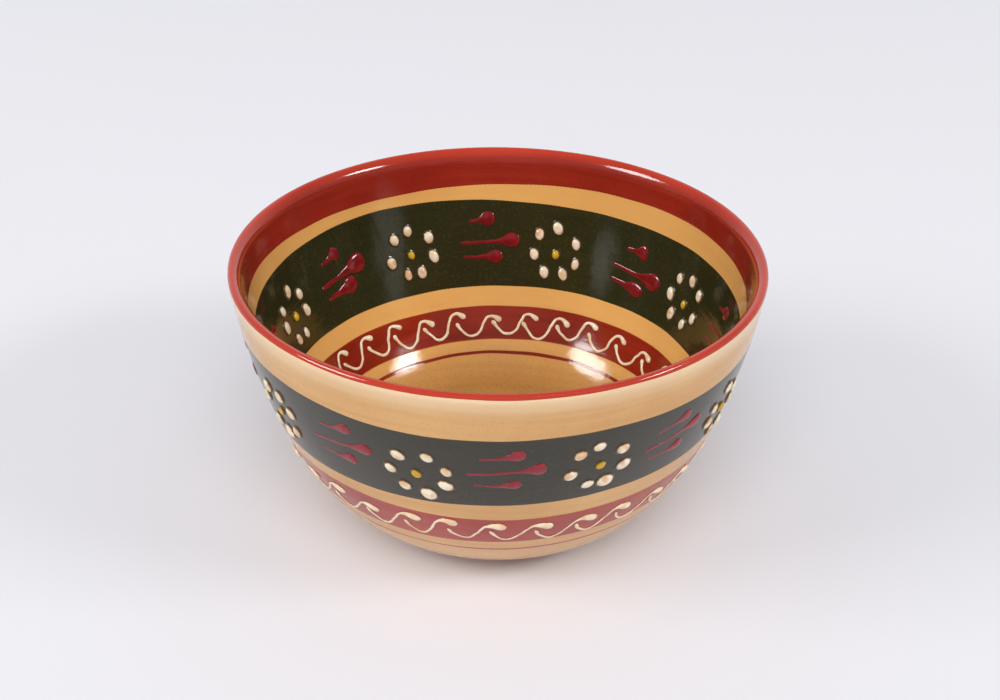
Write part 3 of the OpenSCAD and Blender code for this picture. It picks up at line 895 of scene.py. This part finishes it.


# nudge is in degrees round the bowl, drop in mm down the wall, the other angles in degrees
flowers = dict(
    petals=7,
    width=3.3,
    height=0.95,
    dotWidth=2.79,
    dotLength=3.21,
    outside=dict(count=9, turn=-106.5, ring=7.8, length=4.2, heavy=0.28,
        lean=[48, -62, -30, 10, 20, -15, 30, 12, 24],
        phase=[124, 92, 96, 75, 100, 84, 120, 92, 70],
        nudge=[0.2, -2.0, -3.6, 1.0, -1.2, 0.8, -0.6, 1.4, 1.2],
        drop=[2.2, -0.2, 2.0, 0.8, 0.5, 1.4, 0.4, 1.2, 1.2],
        dotTurn=[180, -30, 150, 20, -60, 90, 200, -90, 40],
        dotShift=0.7),
    inside=dict(count=8, turn=72.0, ring=7.9, length=4.5, heavy=0.0,
        lean=[12, 14, 10, 8, 18, 5, 12, 8],
        phase=[84, 90, 88, 80, 95, 75, 90, 86],
        nudge=[1.0, -1.3, 0.6, -1.0, 0.6, -0.8, 0.5, -0.2],
        drop=[2.2, 1.0, 2.4, 1.8, 1.2, 2.0, 1.5, 2.4],
        dotTurn=[-90, -100, -60, -120, -90, 30, -80, -90],
        dotShift=1.0),
)
sprigs = dict(
    outside=dict(
        weight=[1, 1, 1.1, 0.95, 1, 1.05, 1, 0.95, 1],
        nudge=[-0.8, -2.2, 0.5, -0.8, 1.0, -0.5, 0.8, -1.0, 2.6],
        lean=[2.5, 2, 2, -2, 1, 3, -1, 2, -1],
        drop=[0.0, -0.6, 0.3, -0.3, 0.0, 0.5, -0.5, 0.2, -0.3],
        strokes=[
            [(-7.5, 6.2, 1.85), (-1.5, 6.6, 1.85), (4.4, 8.0, 1.85)],
            [(-11, 0.4, 2.15), (-2, 0.9, 2.15), (9.9, 2.2, 2.15)],
            [(-9.3, -3.7, 1.85), (-3, -4.2, 1.85), (3.4, -3.5, 1.85)]]),
    inside=dict(
        weight=[1, 1.25, 0.95, 1.1, 1, 1.05, 1, 1.2],
        nudge=[-1.8, 0.0, -1.0, 1.2, -0.4, 0.8, 0.6, -2.3],
        lean=[0, 4, 1, -2, 2, 0, -1, -5],
        drop=[-0.2, 0.2, 0.5, -0.4, 0.6, 0.0, 0.3, 2.4],
        strokes=[
            [(-6.4, 6.9, 2.45), (-3, 7.4, 2.45), (2.0, 8.3, 2.45)],
            [(-9.6, -0.3, 2.55), (0, 0.0, 2.55), (10.8, 1.4, 2.55)],
            [(-8.6, -5.0, 2.3), (-2, -5.0, 2.3), (5.2, -4.6, 2.3)]]),
)
scrolls = dict(
    thirds=3,
    weight=2.0,
    outside=dict(count=33, phase=-4.1, reach=3.0,
        stroke=[(0, 0.8, 1.35), (1.7, -2.4, 1.35), (4.8, -4.2, 1.35), (8.6, -0.9, 1.35), (12.2, 3.5, 1.35),
            (17.4, 2.5, 1.35)],
        head=[(0, 0.1), (0.02, 0.4), (0.06, 0.66), (0.12, 0.87), (0.24, 1.0), (0.45, 0.86), (0.62, 0.56),
            (0.8, 0.35), (1, 0.32)]),
    inside=dict(count=31, phase=-0.4, reach=2.1,
        stroke=[(0, 1.4, 1.15), (2.2, -1.8, 1.15), (5.4, -3.8, 1.15), (8.1, -2.4, 1.15), (9.7, 1.2, 1.15),
            (11.7, 3.7, 1.15), (15.8, 2.0, 1.15)],
        head=[(0, 0.1), (0.02, 0.4), (0.06, 0.62), (0.12, 0.8), (0.24, 0.9), (0.42, 0.78), (0.6, 0.6),
            (0.8, 0.48), (1, 0.46)]),
)
# a stroke's width, as (share of the reach, share of the full width), back from its end and on from its start
sprigHead = [(0, 0.1), (0.02, 0.4), (0.06, 0.66), (0.12, 0.87), (0.24, 1.0), (0.4, 0.86), (0.58, 0.56),
    (0.78, 0.34), (1, 0.24)]
sprigTail = [(0, 0.12), (0.04, 0.22), (0.24, 0.26), (0.44, 0.75), (0.56, 1), (1, 1)]
scrollTail = [(0, 0.2), (0.04, 0.5), (0.1, 0.68), (0.2, 0.74), (0.34, 0.62), (0.55, 0.5), (1, 0.5)]

sectionGuide = makeSectionCurve()
petalGuide = makeDropShape("petalShape", 20)
dotGuide = makeDropShape("dotShape", 18)
ringTree = makeRingTree()
sprigTree = makeTrailTree("sprigStrokes", sprigHead, sprigTail, "MINIMUM")


def layAt(node, side, degrees, drop=0.0):  # a motif lies at the middle of its CAD node, moved by the given angle and drop
    low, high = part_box(node)
    station = stationOf(side, (low.z + high.z) / 2)
    flip = 1.0 if side == "outside" else -1.0
    return {"Section": sectionGuide, "Side": flip, "Angle": math.radians(degrees),
        "Station": station - flip * drop * mm,
        "Arc Radius": float(np.interp(station, sectionRun, sectionPoints[:, 0]))}


def makeFlowers(side):
    flower = flowers[side]
    dots = bmesh.new()
    for i in range(flower["count"]):
        node = f"flower_{side}_{i + 1}"
        degrees = flower["turn"] + i * 360 / flower["count"] + flower["nudge"][i]
        shared = {"Height": flowers["height"] * mm, "Lean": math.radians(flower["lean"][i]),
            **layAt(node, side, degrees, flower["drop"][i])}
        growPiece(f"petals{side.title()}{i + 1}", ringTree, "petal", "ivory_slip", node, {"Drop": petalGuide,
            "Count": flowers["petals"], "Ring": flower["ring"] * mm, "Width": flowers["width"] * mm,
            "Length": flower["length"] * mm, "Turn": math.radians(flower["phase"][i]),
            "Heavy": flower["heavy"], "Seed": 10 * i + 3, **shared})
        dot = growMesh(f"dot{i}", ringTree, {"Drop": dotGuide, "Count": 1, "Ring": flower["dotShift"] * mm,
            "Width": flowers["dotWidth"] * mm, "Length": flowers["dotLength"] * mm,
            "Turn": math.radians(flower["dotTurn"][i]), "Seed": 10 * i + 7,
            "Material": materials["dot"], **shared})
        dots.from_mesh(dot)
    name = f"flowerCentres{side.title()}"
    whole = bpy.data.meshes.new(name)
    dots.to_mesh(whole)
    dots.free()
    whole.shade_smooth()
    addPiece(name, whole, materials["dot"], "yellow_slip", f"flower_centres_{side}")
    print("flowers", side, flower["count"])


def makeSprigs(side):
    sprig = sprigs[side]
    guide = makeTrailCurve(f"sprig{side.title()}Guide", sprig["strokes"])
    count, turn = flowers[side]["count"], flowers[side]["turn"]
    for i in range(count):
        node = f"sprig_{side}_{i + 1}"
        degrees = turn + (i + 0.5) * 360 / count + sprig["nudge"][i]
        growPiece(f"sprig{side.title()}{i + 1}", sprigTree, "sprig" + side.title(), "crimson_slip", node,
            {"Stroke": guide, "Weight": sprig["weight"][i], "Flatness": 0.2, "Unevenness": 0.6, "Round": 14,
            "Lean": math.radians(sprig["lean"][i]), "Seed": 20 * i + 5,
            **layAt(node, side, degrees, sprig["drop"][i])})
    bpy.data.objects.remove(guide)
    print("sprigs", side, count)


def makeScrolls(side):
    scroll = scrolls[side]
    guide = makeTrailCurve(f"scroll{side.title()}Guide", [scroll["stroke"]])
    tree = makeTrailTree(f"scrollTrail{side.title()}", scroll["head"], scrollTail, "MULTIPLY")
    first = 0
    for third in range(scrolls["thirds"]):
        node = f"scrolls_{side}_{third + 1}"
        lay = layAt(node, side, scroll["phase"])
        last = round(scroll["count"] * (third + 1) / scrolls["thirds"])
        growPiece(f"scrolls{side.title()}{third + 1}", tree, "scroll", "ivory_slip", node,
            {"Stroke": guide, "Count": last - first, "First": first,
            "Pitch": lay["Side"] * 2 * math.pi * lay["Arc Radius"] / scroll["count"],
            "Weight": scrolls["weight"], "Reach": scroll["reach"], "Flatness": 0.62, "Round": 10,
            "Seed": 3, **lay})
        first = last
    bpy.data.objects.remove(guide)
    print("scrolls", side, scroll["count"])


for side in ("outside", "inside"):
    makeFlowers(side)
    makeSprigs(side)
    makeScrolls(side)
for helper in (sectionGuide, petalGuide, dotGuide):
    bpy.data.objects.remove(helper)


# floor, light and camera

studio = dict(
    floorSize=5.0,
    floorColour=srgb(228, 229, 235),
    floorCloud=srgb(226, 224, 228),
    skyColour=(0.97, 0.98, 1.0, 1),
    horizon=0.15,
    overhead=0.46,
    mirroredHorizon=0.46,
    mirroredOverhead=0.12,
    backdrop=0.55,  # the bright paper behind the bowl, seen only in the glaze
    stepBack=2.5,  # the lighting lamps stand this many times further off, so that the floor is lit evenly
    rightBox=dict(place=(0.68, -0.24, 0.54), size=(0.29, 0.15), power=2.2, gleam=2.8),
    leftBox=dict(place=(-0.67, -0.23, 0.5), size=(0.4, 0.28), power=2.5, gleam=4.9),
    frontFill=dict(rise=49, heading=0, spread=46, power=1.75),
)


def makeFloor():
    half = studio["floorSize"] / 2
    mesh = bpy.data.meshes.new("floor")
    corners = [(-half, -half, 0), (half, -half, 0), (half, half, 0), (-half, half, 0)]
    mesh.from_pydata(corners, [], [(0, 1, 2, 3)])
    floor = placeObject("floor", mesh)
    material, tree, skin = startMaterial("paleFloor", 0.2)
    cloud = noiseAt(tree, objectPlace(tree), 3.0, 3.0)
    paper = mixColours(tree, cloud, studio["floorColour"], studio["floorCloud"])
    tree.links.new(paper, skin.inputs["Base Color"])
    tree.links.new(remap(tree, cloud, 0.0, 1.0, 0.6, 0.7), skin.inputs["Roughness"])
    mesh.materials.append(material)


def makeSoftbox(name, box):  # one lamp lights the slip, its twin only gleams in the glaze
    middle = Vector((0, 0, bowlHeight / 2))
    offset = Vector(box["place"]) - middle
    for part, power, away in (("Light", box["power"], studio["stepBack"]), ("Gleam", box["gleam"], 1.0)):
        light = bpy.data.lights.new(name + part, "AREA")
        light.shape = "RECTANGLE" if part == "Light" else "ELLIPSE"
        light.size, light.size_y = (side * away for side in box["size"])
        light.energy = power * away**2
        lamp = placeObject(name + part, light)
        lamp.location = middle + offset * away
        lamp.rotation_euler = (-offset).to_track_quat("-Z", "Y").to_euler()
        lamp.visible_glossy = part == "Gleam"
        lamp.visible_diffuse = part == "Light"


def makeFill(name, fill):  # the wide even light from over the viewer's shoulder
    light = bpy.data.lights.new(name, "SUN")
    light.energy = fill["power"]
    light.angle = math.radians(fill["spread"])
    lamp = placeObject(name, light)
    lamp.rotation_euler = (math.radians(90 - fill["rise"]), 0, math.radians(fill["heading"]))
    lamp.visible_glossy = False


def makeWorld():
    world = bpy.data.worlds.new("studio")
    bpy.context.scene.world = world
    world.use_nodes = True
    tree = world.node_tree
    sky = tree.nodes["Background"]
    sky.inputs["Color"].default_value = studio["skyColour"]
    glossy = tree.nodes.new("ShaderNodeLightPath").outputs["Is Glossy Ray"]
    _, behind, height = partsOf(tree, tree.nodes.new("ShaderNodeTexCoord").outputs["Generated"])
    lit = remap(tree, height, 0.0, 0.9, studio["horizon"], studio["overhead"])
    mirrored = remap(tree, height, 0.0, 0.9, studio["mirroredHorizon"], studio["mirroredOverhead"])
    paper = remap(tree, behind, 0.4, 0.9, 0.0, studio["backdrop"], True)
    mirrored = doMath(tree, "ADD", mirrored, paper)
    tree.links.new(remap(tree, glossy, 0.0, 1.0, lit, mirrored), sky.inputs["Strength"])


view = dict(place=(0, -0.39951, 0.29094), pitch=30.894, heading=0.115, roll=0.51, lens=54, sensor=36)


def makeCamera():
    pitch, heading, roll = (math.radians(view[k]) for k in ("pitch", "heading", "roll"))
    level = math.cos(pitch)
    ahead = Vector((math.sin(heading) * level, math.cos(heading) * level, -math.sin(pitch)))
    right = Vector((math.cos(heading), -math.sin(heading), 0))
    up = right.cross(ahead)
    right, up = right * math.cos(roll) + up * math.sin(roll), up * math.cos(roll) - right * math.sin(roll)
    camera = placeObject("camera", bpy.data.cameras.new("camera"))
    camera.data.lens = view["lens"]
    camera.data.sensor_width = view["sensor"]
    camera.data.clip_start = 0.01
    facing = Matrix((right, up, -ahead)).transposed().to_4x4()
    camera.matrix_world = Matrix.Translation(view["place"]) @ facing
    bpy.context.scene.camera = camera


makeFloor()
makeSoftbox("rightSoftbox", studio["rightBox"])
makeSoftbox("leftSoftbox", studio["leftBox"])
makeFill("frontFill", studio["frontFill"])
makeWorld()
makeCamera()
bpy.context.scene.view_settings.view_transform = "Standard"
print("studio")
